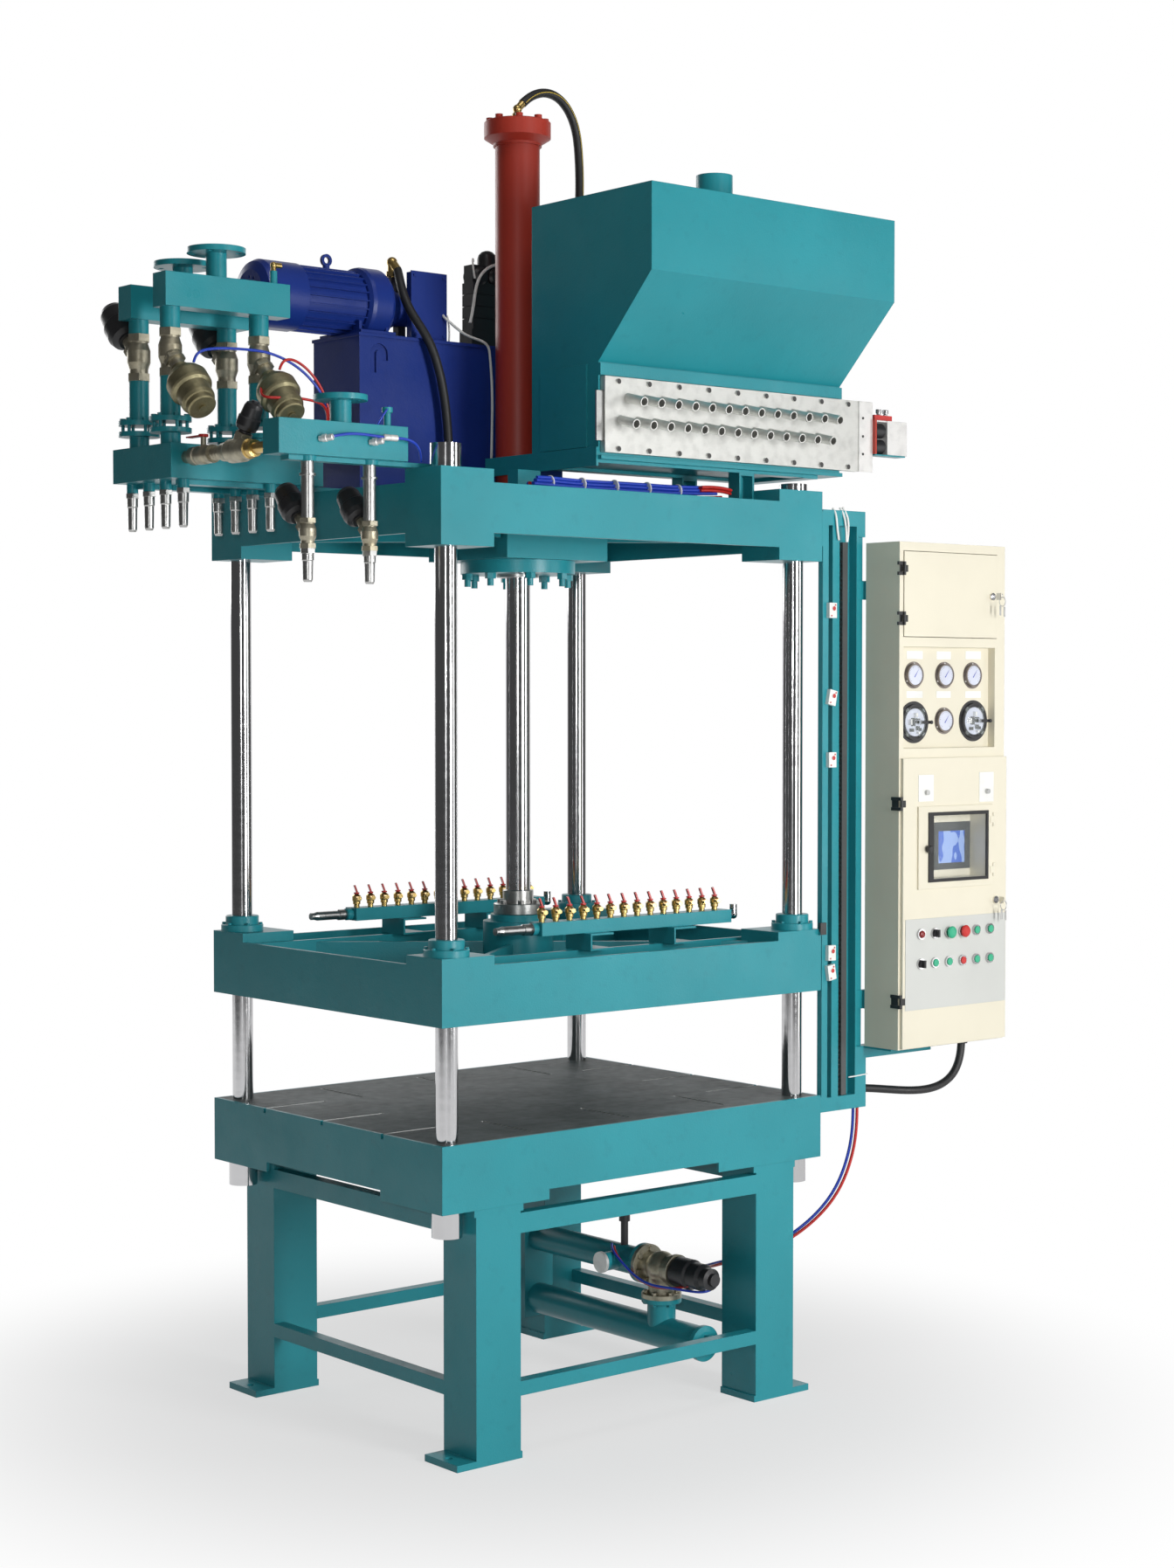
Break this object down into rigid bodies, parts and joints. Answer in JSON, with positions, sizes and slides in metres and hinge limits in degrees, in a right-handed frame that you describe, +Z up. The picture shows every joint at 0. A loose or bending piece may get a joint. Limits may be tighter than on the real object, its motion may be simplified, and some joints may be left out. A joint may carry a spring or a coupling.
{
  "type": "foam shape moulding machine",
  "caption": "Four-column foam shape moulding machine with oil unit, bead hopper, steam pipework and control cabinet.",
  "frame": {"origin": "centre of the press table's top face", "axes": "+X to the right along the operator's side, +Y to the back, +Z up"},
  "size_m": [2.734, 1.3998, 4.122],
  "materials": {
    "teal_paint": "orange-peel gloss",
    "blue_paint": "gloss",
    "red_paint": "satin",
    "cream_paint": "semi-gloss",
    "table_steel": "machined",
    "stainless": "brushed",
    "chrome": "polished",
    "aluminium_sheet": "satin",
    "brass": "machined",
    "bronze": "cast",
    "black_rubber": "matte",
    "black_plastic": "satin",
    "grey_plastic": "matte",
    "green_plastic": "gloss",
    "red_plastic": "gloss"
  },
  "bodies": {
    "press_frame": {"leg_frame": "teal_paint", "table_frame": "teal_paint", "table_plate": "table_steel", "columns": "chrome", "column_nuts": "chrome", "top_platen": "teal_paint", "cylinder_flange": "teal_paint", "cylinder_barrel": "red_paint", "cylinder_cap": "red_paint", "oil_tank": "blue_paint", "motor": "blue_paint", "pump": "blue_paint", "electric_box": "blue_paint", "valve_stack": "black_plastic", "brass_fittings": "brass", "oil_hoses": "black_rubber", "hopper": "teal_paint", "hopper_supports": "teal_paint", "filler_panel": "stainless", "gate_cylinders": "black_plastic", "upper_manifolds": "teal_paint", "lower_manifold": "teal_paint", "front_manifold": "teal_paint", "hose_tails": "stainless", "angle_valves": "bronze", "steam_actuators": "bronze", "air_actuators": "black_plastic", "cross_pipe": "brass", "drain_pipes": "teal_paint", "rail_frame": "teal_paint", "wiring_duct": "grey_plastic", "limit_switches": "cream_paint", "cabinet_body": "cream_paint", "gauges": "stainless", "cabinet_conduit": "black_rubber", "air_tubes": "red_plastic"},
    "platen_group": {"moving_platen": "teal_paint", "guide_bushes": "teal_paint", "piston_rod": "chrome", "rod_flange": "stainless", "valve_bars": "teal_paint", "bar_valves": "brass", "bar_levers": "red_plastic"},
    "gate": {"slide_gate": "stainless"},
    "top_door": {"upper_door": "cream_paint"},
    "main_door": {"lower_door": "cream_paint", "button_panel": "aluminium_sheet", "touch_screen": "black_plastic"},
    "screen_door": {"window_door": "cream_paint"},
    "green_mushroom_cap": {"green_mushroom": "green_plastic"},
    "red_mushroom_cap": {"red_mushroom": "red_plastic"},
    "green_button_1_cap": {"green_button_1": "green_plastic"},
    "green_button_2_cap": {"green_button_2": "green_plastic"},
    "green_button_3_cap": {"green_button_3": "green_plastic"},
    "green_button_4_cap": {"green_button_4": "green_plastic"},
    "red_button_cap": {"red_button": "red_plastic"},
    "green_button_5_cap": {"green_button_5": "green_plastic"},
    "green_button_6_cap": {"green_button_6": "green_plastic"},
    "top_selector_knob": {"top_selector": "black_plastic"},
    "low_selector_knob": {"low_selector": "black_plastic"}
  },
  "joints": [
    {"name": "platen_slide", "type": "slide", "parent": "press_frame", "child": "platen_group", "axis": [0, 0, 1], "range_m": [-0.3, 0.8]},
    {"name": "gate_slide", "type": "slide", "parent": "press_frame", "child": "gate", "axis": [1, 0, 0], "range_m": [0, 0.03]},
    {"name": "top_door_hinge", "type": "hinge", "parent": "press_frame", "child": "top_door", "pos_m": [0.96, -0.758, 1.592], "axis": [0, 0, -1], "range_deg": [0, 110]},
    {"name": "main_door_hinge", "type": "hinge", "parent": "press_frame", "child": "main_door", "pos_m": [0.948, -0.76, 0.6], "axis": [0, 0, -1], "range_deg": [0, 110]},
    {"name": "screen_door_hinge", "type": "hinge", "parent": "main_door", "child": "screen_door", "pos_m": [1.376, -0.767, 0.783], "axis": [0, 0, 1], "range_deg": [0, 110]},
    {"name": "top_selector_turn", "type": "hinge", "parent": "main_door", "child": "top_selector_knob", "pos_m": [1.0975, -0.764, 0.508], "axis": [0, 1, 0], "range_deg": [-45, 45]},
    {"name": "low_selector_turn", "type": "hinge", "parent": "main_door", "child": "low_selector_knob", "pos_m": [1.032, -0.764, 0.413], "axis": [0, 1, 0], "range_deg": [-45, 45]},
    {"name": "green_mushroom_press", "type": "slide", "parent": "main_door", "child": "green_mushroom_cap", "axis": [0, 1, 0], "range_m": [0, 0.005], "stiffness_N_per_m": 600},
    {"name": "red_mushroom_press", "type": "slide", "parent": "main_door", "child": "red_mushroom_cap", "axis": [0, 1, 0], "range_m": [0, 0.005], "stiffness_N_per_m": 600},
    {"name": "green_button_1_press", "type": "slide", "parent": "main_door", "child": "green_button_1_cap", "axis": [0, 1, 0], "range_m": [0, 0.005], "stiffness_N_per_m": 600},
    {"name": "green_button_2_press", "type": "slide", "parent": "main_door", "child": "green_button_2_cap", "axis": [0, 1, 0], "range_m": [0, 0.005], "stiffness_N_per_m": 600},
    {"name": "green_button_3_press", "type": "slide", "parent": "main_door", "child": "green_button_3_cap", "axis": [0, 1, 0], "range_m": [0, 0.005], "stiffness_N_per_m": 600},
    {"name": "green_button_4_press", "type": "slide", "parent": "main_door", "child": "green_button_4_cap", "axis": [0, 1, 0], "range_m": [0, 0.005], "stiffness_N_per_m": 600},
    {"name": "red_button_press", "type": "slide", "parent": "main_door", "child": "red_button_cap", "axis": [0, 1, 0], "range_m": [0, 0.005], "stiffness_N_per_m": 600},
    {"name": "green_button_5_press", "type": "slide", "parent": "main_door", "child": "green_button_5_cap", "axis": [0, 1, 0], "range_m": [0, 0.005], "stiffness_N_per_m": 600},
    {"name": "green_button_6_press", "type": "slide", "parent": "main_door", "child": "green_button_6_cap", "axis": [0, 1, 0], "range_m": [0, 0.005], "stiffness_N_per_m": 600}
  ]
}
